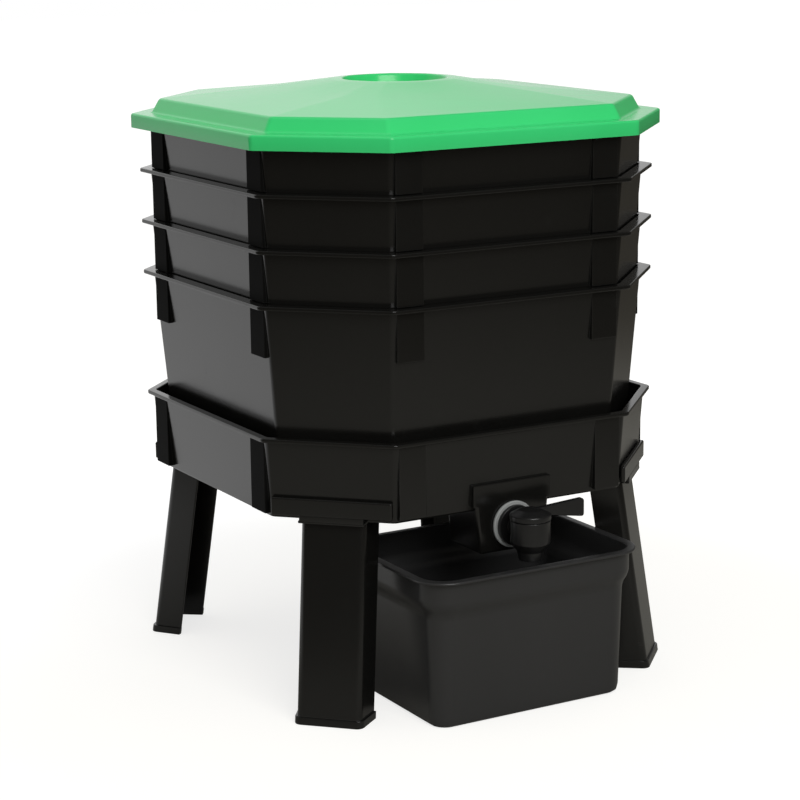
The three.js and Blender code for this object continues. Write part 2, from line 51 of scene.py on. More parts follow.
def effect_group(name, inputs, outputs):
    group = bpy.data.node_groups.new(name, "ShaderNodeTree")
    for label, value in inputs:
        socket = group.interface.new_socket(label, in_out="INPUT", socket_type="NodeSocketFloat")
        socket.default_value = value
    for label in outputs:
        group.interface.new_socket(label, in_out="OUTPUT", socket_type="NodeSocketFloat")
    start = group.nodes.new("NodeGroupInput")
    end = group.nodes.new("NodeGroupOutput")
    return group, start, end


def feed(tree, socket, value):
    """A socket gets a link from another socket, or a plain value"""
    if isinstance(value, bpy.types.NodeSocket):
        tree.links.new(value, socket)
    else:
        socket.default_value = value


def add_node(tree, kind, **settings):
    node = tree.nodes.new(kind)
    for key, value in settings.items():
        if key in node.inputs:
            feed(tree, node.inputs[key], value)
        else:
            setattr(node, key, value)
    return node


def noise(tree, where, **settings):
    return add_node(tree, "ShaderNodeTexNoise", Vector=where, **settings).outputs["Fac"]


def calculate(tree, operation, *values, kind="ShaderNodeMath"):
    node = add_node(tree, kind, operation=operation)
    for socket, value in zip(node.inputs, values):
        feed(tree, socket, value)
    return node.outputs["Value"]


def ramp(tree, value, start, end, low=0.0, high=1.0, **settings):
    """A value mapped from start-end to low-high"""
    node = add_node(tree, "ShaderNodeMapRange", **settings)
    for label, limit in (("From Min", start), ("From Max", end), ("To Min", low), ("To Max", high)):
        node.inputs[label].default_value = limit
    tree.links.new(value, node.inputs["Value"])
    return node.outputs["Result"]


def mix_colours(tree, factor, first, second):
    node = add_node(tree, "ShaderNodeMix", data_type="RGBA", Factor=factor, A=first, B=second)
    return node.outputs["Result"]


def moulded_surface():
    group, start, end = effect_group(
        "moulded surface",
        [("Grain Scale", 900.0), ("Flow Scale", 9.0), ("Scuff Scale", 60.0), ("Scuff Amount", 0.4)],
        ["Grain", "Flow", "Scuffs"],
    )
    given = start.outputs
    place = add_node(group, "ShaderNodeTexCoord").outputs["Object"]
    grain = noise(group, place, Scale=given["Grain Scale"], Detail=3.0, Roughness=0.6)
    # Flow marks are stretched upwards, the way the plastic filled the mould
    upward_stretch = (1.0, 1.0, 0.35)
    stretch = add_node(group, "ShaderNodeMapping", Vector=place, Scale=upward_stretch).outputs["Vector"]
    flow = noise(group, stretch, Scale=given["Flow Scale"], Detail=4.0, Roughness=0.55, Distortion=0.6)
    # Scuffs are short dull strokes: a fine noise that a broad one lets through here and there
    fine = noise(group, place, Scale=given["Scuff Scale"], Detail=6.0, Roughness=0.75, Distortion=1.5)
    broad = noise(group, place, Scale=14.0, Detail=2.0)
    strokes = calculate(group, "MULTIPLY", ramp(group, fine, 0.56, 0.7), ramp(group, broad, 0.48, 0.66))
    scuffs = calculate(group, "MULTIPLY", strokes, given["Scuff Amount"])
    for label, value in (("Grain", grain), ("Flow", flow), ("Scuffs", scuffs)):
        group.links.new(value, end.inputs[label])
    return group


def worn_and_highlit_edges():
    group, start, end = effect_group("worn and highlit edges", [("Radius", 0.0012)], ["Edge"])
    rounded = add_node(group, "ShaderNodeBevel", samples=4, Radius=start.outputs["Radius"])
    flat = add_node(group, "ShaderNodeNewGeometry")
    lean = calculate(
        group, "DOT_PRODUCT", rounded.outputs["Normal"], flat.outputs["Normal"], kind="ShaderNodeVectorMath",
    )
    # The paler edge colour that this mask lets in is partly rubbed wear and partly a painted highlight along
    # the edges
    group.links.new(ramp(group, lean, 0.995, 0.85), end.inputs["Edge"])
    return group


surface_group = moulded_surface()
edge_wear_and_highlight_group = worn_and_highlit_edges()


def moulded_plastic(name, low, high, edge_wear_and_highlight_colour, dull, roughness, spread, specular, grain, scuff):
    """Plastic that varies from low to high, paler at its edges with rubbing and a painted highlight, with
    dull scuffs and a fine grain
    """
    scuff_roughness = 0.3
    material = bpy.data.materials.new(name)
    material.use_nodes = True
    tree = material.node_tree
    shader = tree.nodes["Principled BSDF"]
    shader.inputs["IOR"].default_value = 1.49
    shader.inputs["Specular IOR Level"].default_value = specular
    surface = add_node(tree, "ShaderNodeGroup", node_tree=surface_group)
    surface.inputs["Grain Scale"].default_value = grain["scale"]
    surface.inputs["Scuff Amount"].default_value = scuff
    edges = add_node(tree, "ShaderNodeGroup", node_tree=edge_wear_and_highlight_group)
    tint = mix_colours(tree, surface.outputs["Flow"], (*low, 1.0), (*high, 1.0))
    # Edges are paler: partly rubbed wear, partly a painted highlight
    rubbed_and_highlit = mix_colours(tree, edges.outputs["Edge"], tint, (*edge_wear_and_highlight_colour, 1.0))
    scuffed = mix_colours(tree, surface.outputs["Scuffs"], rubbed_and_highlit, (*dull, 1.0))
    tree.links.new(scuffed, shader.inputs["Base Color"])
    gloss = ramp(tree, surface.outputs["Flow"], 0.0, 1.0, roughness - spread, roughness + spread)
    duller = calculate(tree, "MULTIPLY_ADD", surface.outputs["Scuffs"], scuff_roughness, gloss)
    tree.links.new(duller, shader.inputs["Roughness"])
    relief = add_node(
        tree, "ShaderNodeBump",
        Strength=grain["strength"], Distance=grain["depth"], Height=surface.outputs["Grain"],
    )
    tree.links.new(relief.outputs["Normal"], shader.inputs["Normal"])
    return material


black_plastic = moulded_plastic(
    "black moulded plastic",
    low=(0.0042, 0.0041, 0.0037), high=(0.0062, 0.006, 0.0053), edge_wear_and_highlight_colour=(0.016, 0.016, 0.015),
    dull=(0.016, 0.016, 0.015), roughness=0.2, spread=0.04, specular=0.5,
    grain={"scale": 900.0, "strength": 0.08, "depth": 0.0002}, scuff=0.3,
)
# The posts of the two side walls look much darker than the walls, so they get a dull finish and a darker
# colour, which is painted shade
shaded_post_plastic = moulded_plastic(
    "dull black plastic with painted shade",
    low=(0.0038, 0.0037, 0.0036), high=(0.0052, 0.0051, 0.0048), edge_wear_and_highlight_colour=(0.014, 0.014, 0.013),
    dull=(0.014, 0.014, 0.013), roughness=0.4, spread=0.05, specular=0.01,
    grain={"scale": 1500.0, "strength": 0.2, "depth": 0.0002}, scuff=0.3,
)

bin_low, bin_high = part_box("base_bin")
axis_y = (bin_low.y + bin_high.y) / 2
flange_half = (bin_high.x - bin_low.x) / 2
flange_cut = 86 * mm
outline_radius = 7 * mm
flange_thick = 4 * mm
edge_round = 0.9 * mm
mould_draft = 0.2 * mm
ring_segments = 4
bin_top = bin_high.z
bin_edge = 182.6 * mm
bin_wall_half = flange_half - 5 * mm
bin_wall = 2.6 * mm
bin_taper_share = 0.073
bin_floor_top = 199 * mm
bin_floor_thick = 3 * mm
post_width = 27 * mm
post_inset = 4.5 * mm
post_round = 1.5 * mm
rib_thick = 3 * mm
rib_reach = 40 * mm
rib_offset = 72 * mm
rib_round = 0.6 * mm
corner_angle = radians(30)


def round_corners(bm, corners, offset, segments):
    return bmesh.ops.bevel(
        bm, geom=corners, offset=offset, segments=segments, profile=0.5, affect="VERTICES", material=-1,
    )["verts"]


def ring(bm, half_x, half_y, z, centre_y, corner_bevels):
    """The edges of a level rectangle whose corners are cut or rounded"""
    place = Matrix.Translation((0, centre_y, z)) @ Matrix.Diagonal((half_x, half_y, 1, 1))
    corners = bmesh.ops.create_grid(bm, x_segments=1, y_segments=1, size=1, matrix=place)["verts"]
    for offset, segments in corner_bevels:
        corners = round_corners(bm, corners, offset, segments)
    face = corners[0].link_faces[0]
    edges = list(face.edges)
    bmesh.ops.delete(bm, geom=[face], context="FACES_ONLY")
    return edges


def octagon_ring(bm, half, z, outer_half=flange_half, outer_cut=flange_cut):
    cut = outer_cut - (outer_half - half) * (2 - sqrt(2))
    return ring(bm, half, half, z, axis_y, [(cut, 1), (outline_radius * tan(pi / 8), ring_segments)])


def skin(bm, rings):
    """Walls from each ring to the next"""
    for lower, upper in zip(rings, rings[1:]):
        bmesh.ops.bridge_loops(bm, edges=lower + upper)


def top_of(edge):
    return max(vert.co.z for vert in edge.verts)


def foot_of(edge):
    return min(vert.co.z for vert in edge.verts)


def round_edges(bm, angle, offset, segments, keep=lambda edge: True):
    sharp = [e for e in bm.edges if e.is_manifold and e.calc_face_angle() > angle and keep(e)]
    bmesh.ops.bevel(
        bm, geom=sharp, offset=offset, segments=segments, profile=0.5, affect="EDGES",
        clamp_overlap=True, material=-1,
    )


def block(bm, low, high, turned=0.0):
    """A box between two corners, measured from the part's upright axis and turned about it"""
    size = Vector(high) - Vector(low)
    middle = (Vector(low) + Vector(high)) / 2
    place = Matrix.Translation((0, axis_y, 0)) @ Matrix.Rotation(turned, 4, "Z")
    place = place @ Matrix.Translation(middle) @ Matrix.Diagonal((*size, 1))
    return bmesh.ops.create_cube(bm, size=1, matrix=place)["verts"]


def finish_piece(name, bm, material, slot, body, *nodes, posts=None, wall=0.0):
    bmesh.ops.remove_doubles(bm, verts=bm.verts, dist=1e-6)
    bmesh.ops.recalc_face_normals(bm, faces=bm.faces)
    mesh = bpy.data.meshes.new(name)
    bm.to_mesh(mesh)
    bm.free()
    mesh.shade_smooth()
    mesh.set_sharp_from_angle(angle=radians(32))
    mesh.materials.append(material)
    if posts:
        mesh.materials.append(posts)
    piece = bpy.data.objects.new(name, mesh)
    bpy.context.scene.collection.objects.link(piece)
    if wall:
        shell = piece.modifiers.new("wall", "SOLIDIFY")
        shell.thickness = wall
        shell.offset = -1
        shell.use_even_offset = True
    weighted = piece.modifiers.new("weighted normals", "WEIGHTED_NORMAL")
    weighted.keep_sharp = True
    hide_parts(*nodes)
    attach(piece, body)


def bin_half(z):
    return bin_wall_half - (bin_top - z) * bin_taper_share


def add_posts(bm, half, taper_share, low, high, wall):
    """Two posts on each broad wall, upright outside and tapered inside like the wall they join"""
    side = half - flange_cut + (flange_half - half) * (2 - sqrt(2))
    far = side - post_inset
    taper = (high - low) * taper_share
    root = half - taper - wall / 2
    for face in range(4):
        turn = Matrix.Rotation(face * pi / 2, 3, "Z")
        outwards = turn @ Vector((1, 0, 0))
        for sign in (-1, 1):
            first, last = sorted((sign * far, sign * (far - post_width)))
            post = bmesh.new()
            verts = block(post, (root, first, low), (half, last, high), turned=face * pi / 2)
            inner = [v for v in verts if (v.co - Vector((0, axis_y, 0))).dot(outwards) < (root + half) / 2]
            upper = [v for v in inner if v.co.z > (low + high) / 2]
            bmesh.ops.translate(post, verts=upper, vec=outwards * taper)
            round_edges(post, corner_angle, post_round, 3)
            # Only the side walls' posts take the piece's second, dull material, whose darker colour is
            # painted shade
            for post_face in post.faces:
                post_face.material_index = 1 if face % 2 == 0 else 0
            merge_into(bm, post)


def merge_into(bm, other):
    mesh = bpy.data.meshes.new("joined")
    other.to_mesh(mesh)
    other.free()
    bm.from_mesh(mesh)
    bpy.data.meshes.remove(mesh)


def combine(bm, other, operation="DIFFERENCE"):
    meshes = []
    for source in (bm, other):
        bmesh.ops.recalc_face_normals(source, faces=source.faces)
        mesh = bpy.data.meshes.new("boolean")
        source.to_mesh(mesh)
        source.free()
        meshes.append(mesh)
    body, tool = (bpy.data.objects.new("boolean", mesh) for mesh in meshes)
    for item in (body, tool):
        bpy.context.scene.collection.objects.link(item)
    boolean = body.modifiers.new("boolean", "BOOLEAN")
    boolean.object = tool
    boolean.operation = operation
    boolean.solver = "EXACT"
    result = bmesh.new()
    result.from_object(body, bpy.context.evaluated_depsgraph_get())
    for item in (body, tool):
        bpy.data.objects.remove(item)
    for mesh in meshes:
        bpy.data.meshes.remove(mesh)
    return result


sump_half = 41 * mm
sump_draw = 7 * mm
sump_depth = 52 * mm
sump_bottom = bin_low.z
sump_panel_top = 207 * mm
sump_wall = 3 * mm
sump_front = axis_y - bin_wall_half
tap_height = 167 * mm
inlet_radius = 10 * mm
seat_gap = 0.3 * mm
panel_lap = 12 * mm
drill_segments = 48


def sump_block(inset, low, high, front, round_by):
    """The sump's outside, or with an inset its inside, drawn in towards its bottom"""
    block_bm = bmesh.new()
    drawn = sump_panel_top - sump_bottom
    rings = []
    for z in (low, high):
        share = (sump_panel_top - z) / drawn
        half = sump_half - sump_draw * share - inset
        back = front + sump_depth - inset
        near = front + inset
        rings.append(ring(block_bm, half, (back - near) / 2, z, (back + near) / 2, []))
    skin(block_bm, rings)
    bmesh.ops.holes_fill(block_bm, edges=block_bm.edges, sides=0)
    round_edges(block_bm, corner_angle, round_by, 4, keep=lambda edge: foot_of(edge) < high - mm)
    return block_bm


bin_bm = bmesh.new()
bin_profile = [
    (bin_half(bin_floor_top) - bin_wall, bin_floor_top - bin_floor_thick),
    (bin_half(bin_edge) - bin_wall - mm, bin_edge + mould_draft),
    (bin_half(bin_edge) - mm, bin_edge),
    (bin_half(bin_edge + 2 * mm), bin_edge + 2 * mm),
    (bin_half(bin_top - flange_thick), bin_top - flange_thick),
    (flange_half, bin_top - flange_thick + mould_draft),
    (flange_half, bin_top - mould_draft),
    (bin_wall_half - bin_wall, bin_top),
    (bin_half(bin_floor_top) - bin_wall, bin_floor_top),
]
bin_rings = [octagon_ring(bin_bm, half, z) for half, z in bin_profile]
skin(bin_bm, bin_rings)
bmesh.ops.holes_fill(bin_bm, edges=bin_bm.edges, sides=0)
round_edges(bin_bm, radians(35), edge_round, 3, keep=lambda edge: top_of(edge) > bin_top - 5 * mm)
sump_outside = sump_block(0, sump_bottom, bin_floor_top - mm, sump_front, 3 * mm)
bin_bm = combine(bin_bm, sump_outside, "UNION")
panel = bmesh.new()
panel_low = Vector((-sump_half, -bin_wall_half, bin_floor_top - panel_lap))
panel_high = Vector((sump_half, -bin_half(bin_edge) + bin_wall / 2, sump_panel_top))
block(panel, panel_low, panel_high)
round_edges(panel, corner_angle, 1.2 * mm, 3, keep=lambda edge: foot_of(edge) > panel_low.z + mm)
bin_bm = combine(bin_bm, panel, "UNION")
sump_inside = sump_block(
    sump_wall, sump_bottom + sump_wall, bin_floor_top + 2 * bin_floor_thick, sump_front, 2 * mm,
)
bin_bm = combine(bin_bm, sump_inside)


def rod(radius, length, place, segments):
    """A round or many-sided rod whose middle and direction place gives"""
    rod_bm = bmesh.new()
    bmesh.ops.create_cone(
        rod_bm, cap_ends=True, segments=segments, radius1=radius, radius2=radius, depth=length, matrix=place,
    )
    return rod_bm


tap_line = Matrix.Translation((0, sump_front, tap_height)) @ Matrix.Rotation(pi / 2, 4, "X")
bin_bm = combine(bin_bm, rod(inlet_radius + seat_gap, 30 * mm, tap_line, drill_segments))
add_posts(bin_bm, bin_wall_half, bin_taper_share, bin_edge + 3 * mm, bin_top - flange_thick / 2, bin_wall)
tray_4_low, tray_4_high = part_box("worm_tray_4")
for side in range(4):
    for sign in (-1, 1):
        rib = bmesh.new()
        reach = bin_half(bin_floor_top) - bin_wall / 2
        rib_low = (reach - rib_reach, sign * rib_offset - rib_thick / 2, bin_floor_top - bin_floor_thick / 2)
        rib_high = (reach, sign * rib_offset + rib_thick / 2, tray_4_low.z - seat_gap)
        block(rib, rib_low, rib_high, turned=side * pi / 2)
        round_edges(rib, corner_angle, rib_round, 2)
        merge_into(bin_bm, rib)
finish_piece(
    "reservoir_bin", bin_bm, black_plastic, "black_plastic", "stand", "base_bin", posts=shaded_post_plastic,
)

# Four splayed legs: black channel mouldings, open towards the middle, with a thickened rim at the
# ground. The bin's lower edge stands on the channel's side walls, and a wide head plate holds
# its corner wall from outside. A thin ledge joins the plate to the channel, tucked in below it.
leg_shoulder = 182.3 * mm
leg_foot = 249.97 * mm
leg_top = 230.97 * mm
leg_half = 29.5 * mm
leg_flare = 4.5 * mm
leg_depth = 30 * mm
leg_tuck = 8 * mm
ledge_thick = 2.5 * mm
leg_wall = 3 * mm
leg_round = 6 * mm
leg_rim = 1.8 * mm
leg_rim_height = 7 * mm
head_half = 55.5 * mm
head_low = 186.2 * mm
head_top = 202.4 * mm
ledge_overhang = 1 * mm


def channel(bm, reach, low, high, lean, rim, thick):
    """An open channel: an outer face and two side walls, raised from low to high, thickened inwards"""
    half = leg_half + rim
    corners = [
        (reach - leg_depth, -half - leg_flare), (reach + rim, -half),
        (reach + rim, half), (reach - leg_depth, half + leg_flare),
    ]
    strip = bmesh.new()
    points = [strip.verts.new((x, y, low)) for x, y in corners]
    for start, end in zip(points, points[1:]):
        strip.edges.new((start, end))
    round_corners(strip, points[1:3], leg_round, 7)
    raised = bmesh.ops.extrude_edge_only(strip, edges=strip.edges)["geom"]
    top = [item for item in raised if isinstance(item, bmesh.types.BMVert)]
    bmesh.ops.translate(strip, verts=top, vec=(lean, 0, high - low))
    bmesh.ops.recalc_face_normals(strip, faces=strip.faces)
    if max(strip.faces, key=lambda face: face.calc_area()).normal.x < 0:
        bmesh.ops.reverse_faces(strip, faces=strip.faces)
    bmesh.ops.solidify(strip, geom=strip.faces, thickness=thick)
    # Solidify tilts the ends of a leaning channel, so they are set level again
    for vert in strip.verts:
        vert.co.z = low if vert.co.z < (low + high) / 2 else high
    bmesh.ops.recalc_face_normals(strip, faces=strip.faces)
    round_edges(strip, radians(50), 0.7 * mm, 2)
    merge_into(bm, strip)


def leg_bmesh():
    leg = bmesh.new()
    lean = leg_top - leg_tuck - leg_foot
    channel(leg, leg_foot, 0, leg_shoulder, lean, 0, leg_wall)
    rim_lean = lean * leg_rim_height / leg_shoulder
    channel(leg, leg_foot, 0, leg_rim_height, rim_lean, leg_rim, leg_wall + leg_rim)
    half = bin_half(head_low)
    wall_outer = (half * 2 - flange_cut + (flange_half - half) * (2 - sqrt(2))) / sqrt(2)
    plate = bmesh.new()
    block_at = Matrix.Translation((0, -axis_y, 0))
    block(plate, (wall_outer + 1.5 * mm, -head_half, head_low), (leg_top, head_half, head_top))
    bmesh.ops.transform(plate, matrix=block_at, verts=plate.verts)
    round_edges(plate, corner_angle, 1.6 * mm, 4)
    merge_into(leg, plate)
    neck = bmesh.new()
    block(neck, (wall_outer + 0.6 * mm, -leg_half, leg_shoulder - mm), (leg_top, leg_half, head_low + mm))
    ledge_half = leg_half + ledge_overhang
    ledge_near = leg_top - leg_tuck - leg_wall
    block(neck, (ledge_near, -ledge_half, leg_shoulder - ledge_thick), (leg_top, ledge_half, leg_shoulder))
    bmesh.ops.transform(neck, matrix=block_at, verts=neck.verts)
    round_edges(neck, corner_angle, 0.8 * mm, 2)
    merge_into(leg, neck)
    return leg


leg_turns = {"front_right_leg": -1, "back_right_leg": 1, "back_left_leg": 3, "front_left_leg": -3}
for leg_name, eighths in leg_turns.items():
    leg_bm = leg_bmesh()
    place = Matrix.Translation((0, axis_y, 0)) @ Matrix.Rotation(eighths * pi / 4, 4, "Z")
    bmesh.ops.transform(leg_bm, matrix=place, verts=leg_bm.verts)
    finish_piece(f"{leg_name}_moulding", leg_bm, black_plastic, "black_plastic", "stand", leg_name)

# The drain tap: a black moulded body whose inlet goes through the sump's panel, between two
# grey rubber washers, and is held by a nut inside. A plug turns in its barrel.
washer_radius = 21.5 * mm
washer_thick = 3 * mm
inner_washer_radius = 16.5 * mm
inner_washer_thick = 2.4 * mm
collar_radius = 18.5 * mm
collar_thick = 4 * mm
nut_radius = 18 * mm
nut_thick = 8 * mm
barrel_y = sump_front - 29 * mm
barrel_radius = 18 * mm
barrel_top = 177.4 * mm
barrel_bottom = 157 * mm
spout_radius = 12 * mm
spout_top = 149 * mm
spout_tip_radius = 10.6 * mm
spout_bottom = 141 * mm
spout_bore = 7 * mm
plug_radius = 12 * mm
plug_seat = 158.5 * mm
inlet_bore = 6.5 * mm
inlet_length = 22 * mm
round_steps = 64
to_the_back = Vector((0, 1, 0))
upwards = Vector((0, 0, 1))


def spin_profile(bm, profile, origin, axis, round_by):
    """A closed profile of (radius, height) pairs, spun about an axis through origin"""
    across = Vector((1, 0, 0))
    spun = bmesh.new()
    points = [spun.verts.new(Vector(origin) + across * radius + axis * height) for radius, height in profile]
    edges = [spun.edges.new(pair) for pair in zip(points, points[1:] + points[:1])]
    bmesh.ops.spin(
        spun, geom=points + edges, cent=origin, axis=axis, angle=2 * pi, steps=round_steps, use_merge=True,
    )
    bmesh.ops.remove_doubles(spun, verts=spun.verts, dist=1e-6)
    bmesh.ops.recalc_face_normals(spun, faces=spun.faces)
    round_edges(spun, radians(25), round_by, 3)
    merge_into(bm, spun)


tap_plastic = moulded_plastic(
    "satin black tap plastic",
    low=(0.006, 0.006, 0.006), high=(0.009, 0.009, 0.009), edge_wear_and_highlight_colour=(0.02, 0.02, 0.02),
    dull=(0.02, 0.02, 0.02), roughness=0.3, spread=0.05, specular=0.5,
    grain={"scale": 1400.0, "strength": 0.1, "depth": 0.0001}, scuff=0.3,
)
body_bm = bmesh.new()
spin_profile(body_bm, [
    (spout_bore, spout_bottom), (spout_tip_radius, spout_bottom), (spout_radius, spout_top),
    (barrel_radius, barrel_bottom), (barrel_radius, barrel_top), (plug_radius + seat_gap, barrel_top),
    (plug_radius + seat_gap, plug_seat), (spout_bore, plug_seat),
], (0, barrel_y, 0), upwards, round_by=0.7 * mm)
collar_front = sump_front - seat_gap * 2 - washer_thick
inlet_end = sump_front + inlet_length
inlet_root = barrel_y + barrel_radius - 4 * mm
spin_profile(body_bm, [
    (inlet_bore, inlet_end), (inlet_radius, inlet_end), (inlet_radius, collar_front - mm),
    (collar_radius, collar_front), (collar_radius, collar_front - collar_thick),
    (inlet_radius, collar_front - collar_thick), (inlet_radius, inlet_root), (inlet_bore, inlet_root),
], (0, 0, tap_height), to_the_back, round_by=0.5 * mm)
finish_piece("tap_body_moulding", body_bm, tap_plastic, "tap_plastic", "stand", "tap_body")

nut_near = sump_front + sump_wall + seat_gap * 2 + inner_washer_thick
nut_place = Matrix.Translation((0, nut_near + nut_thick / 2, tap_height)) @ Matrix.Rotation(pi / 2, 4, "X")
nut_bm = rod(nut_radius, nut_thick, nut_place, 6)
round_edges(nut_bm, corner_angle, 0.8 * mm, 2)
nut_bm = combine(nut_bm, rod(inlet_radius + seat_gap, nut_thick * 2, nut_place, drill_segments))
finish_piece("tap_nut", nut_bm, tap_plastic, "tap_plastic", "stand", "tap_backnut")

# Two grey rubber washers, which the nut squeezes against the sump's panel from both sides, and
# the ring that seals the plug in its barrel. All are pressed soft rings.
washer_rubber = moulded_plastic(
    "grey rubber",
    low=(0.24, 0.25, 0.245), high=(0.31, 0.32, 0.31), edge_wear_and_highlight_colour=(0.4, 0.41, 0.4),
    dull=(0.18, 0.18, 0.175), roughness=0.55, spread=0.08, specular=0.4,
    grain={"scale": 1600.0, "strength": 0.2, "depth": 0.0001}, scuff=0.25,
)
outer_near = sump_front - seat_gap - washer_thick
inner_near = sump_front + sump_wall + seat_gap
for side, near, thick, radius, washer_round in (
    ("outer", outer_near, washer_thick, washer_radius, 0.9 * mm),
    ("inner", inner_near, inner_washer_thick, inner_washer_radius, 0.7 * mm),
):
    washer = bmesh.new()
    bore = inlet_radius + seat_gap
    spin_profile(
        washer, [(bore, near), (radius, near), (radius, near + thick), (bore, near + thick)],
        (0, 0, tap_height), to_the_back, round_by=washer_round,
    )
    finish_piece(
        f"tap_washer_{side}", washer, washer_rubber, "washer_rubber", "stand", f"tap_{side}_washer",
    )
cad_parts["tap_plug_seal"].data.materials[0] = washer_rubber

# The plug with its lever in one moulding: a hollow plug with a side port, a round head that
# sits on the barrel and an upright fin that grows taller towards its end. The barrel hides the
# port, so it isn't cut here.
plug_bore = 7 * mm
plug_port = 4.5 * mm
cap_radius = 18.5 * mm
cap_thick = 5 * mm
hub_radius = 10 * mm
hub_top = 187 * mm
lever_length = 56 * mm
lever_thick = 6 * mm
lever_root_low = 179 * mm
lever_tip_low = 172.8 * mm
lever_tip_top = 190.2 * mm
near_axis = 0.05 * mm
plug_bm = bmesh.new()
under = barrel_top + seat_gap
spin_profile(plug_bm, [
    (plug_bore, plug_seat + seat_gap), (plug_radius, plug_seat + seat_gap), (plug_radius, under),
    (cap_radius, under), (cap_radius, under + cap_thick), (hub_radius, hub_top),
    (near_axis, hub_top), (near_axis, tap_height + plug_port), (plug_bore, tap_height + plug_port),
], (0, barrel_y, 0), upwards, round_by=0.9 * mm)
fin = bmesh.new()
fin_outline = [
    (0, lever_root_low), (cap_radius, lever_root_low), (lever_length, lever_tip_low),
    (lever_length, lever_tip_top), (0, hub_top),
]
fin_points = [fin.verts.new((x, barrel_y - lever_thick / 2, z)) for x, z in fin_outline]
fin.faces.new(fin_points)
round_corners(fin, fin_points[2:4], 3 * mm, 5)
fin_top = bmesh.ops.extrude_face_region(fin, geom=fin.faces)["geom"]
fin_top_verts = [item for item in fin_top if isinstance(item, bmesh.types.BMVert)]
bmesh.ops.translate(fin, verts=fin_top_verts, vec=(0, lever_thick, 0))
bmesh.ops.recalc_face_normals(fin, faces=fin.faces)
round_edges(fin, radians(60), 1.2 * mm, 3)
merge_into(plug_bm, fin)
finish_piece("tap_plug_and_lever", plug_bm, tap_plastic, "tap_plastic", "tap_valve", "tap_plug")

# The four worm trays: the same black moulding four times. Each tapers into the one below, stands
# on its rim by eight upright posts, and has a floor full of holes for the worms to climb through.
tray_pitch = 48.6 * mm
tray_height = tray_4_high.z - tray_4_low.z
tray_wall_half = flange_half - 9 * mm
tray_wall = 2.4 * mm
tray_floor = 2.5 * mm
tray_taper_share = 0.08
tray_foot_round = 6 * mm
hole_radius = 3.4 * mm
hole_pitch = 42 * mm
hole_margin = 12 * mm
hole_segments = 20
bend_share = 0.3  # of a radius, at the middle of a quarter bend


def tray_half(depth):
    return tray_wall_half - depth * tray_taper_share


def tray_bmesh():
    """One tray, measured down from the top of its flange"""
    tray = bmesh.new()
    foot = tray_half(tray_height)
    bend = tray_foot_round * bend_share
    profile = [
        (foot - tray_foot_round, -tray_height),
        (foot - bend, -tray_height + bend),
        (tray_half(tray_height - tray_foot_round), -tray_height + tray_foot_round),
        (tray_half(flange_thick), -flange_thick),
        (flange_half, -flange_thick + mould_draft),
        (flange_half, -mould_draft),
        (tray_wall_half - tray_wall, 0),
        (tray_half(tray_height - tray_foot_round) - tray_wall, -tray_height + tray_floor + tray_foot_round),
        (foot - tray_wall - tray_foot_round, -tray_height + tray_floor),
    ]
    skin(tray, [octagon_ring(tray, half, z) for half, z in profile])
    bmesh.ops.holes_fill(tray, edges=tray.edges, sides=0)
    round_edges(tray, radians(35), edge_round, 3, keep=lambda edge: top_of(edge) > -5 * mm)
    half = foot - tray_foot_round - hole_margin
    across = int(half / hole_pitch)
    reach = half * 2 - flange_cut + (flange_half - half) * (2 - sqrt(2))
    holes = bmesh.new()
    for column in range(-across, across + 1):
        for row in range(-across, across + 1):
            if abs(column * hole_pitch) + abs(row * hole_pitch) > reach:
                continue
            spot = Matrix.Translation((column * hole_pitch, axis_y + row * hole_pitch, -tray_height))
            merge_into(holes, rod(hole_radius, 4 * tray_floor, spot, hole_segments))
    tray = combine(tray, holes)
    add_posts(tray, tray_wall_half, tray_taper_share, -tray_pitch + seat_gap, -flange_thick / 2, tray_wall)
    return tray


first_tray = tray_bmesh()
tray_mesh = bpy.data.meshes.new("tray")
first_tray.to_mesh(tray_mesh)
first_tray.free()
for number in (4, 3, 2, 1):
    tray_bm = bmesh.new()
    tray_bm.from_mesh(tray_mesh)
    tray_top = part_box(f"worm_tray_{number}")[1].z
    bmesh.ops.translate(tray_bm, verts=tray_bm.verts, vec=(0, 0, tray_top))
    finish_piece(
        f"worm_tray_{number}_moulding", tray_bm, black_plastic, "black_plastic", f"tray_{number}",
        f"worm_tray_{number}", posts=shaded_post_plastic,
    )

# The lid: a glossy green moulding whose skirt drops over the top tray's flange. A leaning tier
# rises from its ledge, and a low crown leads up to a round recess that fingers lift it by.
lid_low, lid_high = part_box("lid")
lid_half = (lid_high.x - lid_low.x) / 2
lid_cut = 88.5 * mm
lid_wall = 2.6 * mm
lid_edge = 2.2 * mm
tier_inset = 18 * mm
tier_lean = 7 * mm
tier_rise = 13.2 * mm
crown_rise = 18 * mm
crown_mid_half = 106 * mm
crown_mid_rise_share = 0.53
crown_mid_round_share = 0.45
brim_half = 62 * mm
brim_rise_share = 0.95
recess_radius = 49 * mm
recess_draft = 3 * mm
recess_depth = 13 * mm
side_cuts = 5
green_plastic = moulded_plastic(
    "green moulded plastic",
    low=(0.036, 0.6, 0.165), high=(0.046, 0.66, 0.195), edge_wear_and_highlight_colour=(0.09, 0.72, 0.27),
    dull=(0.1, 0.64, 0.25), roughness=0.2, spread=0.04, specular=0.44,
    grain={"scale": 900.0, "strength": 0.08, "depth": 0.0002}, scuff=0.2,
)


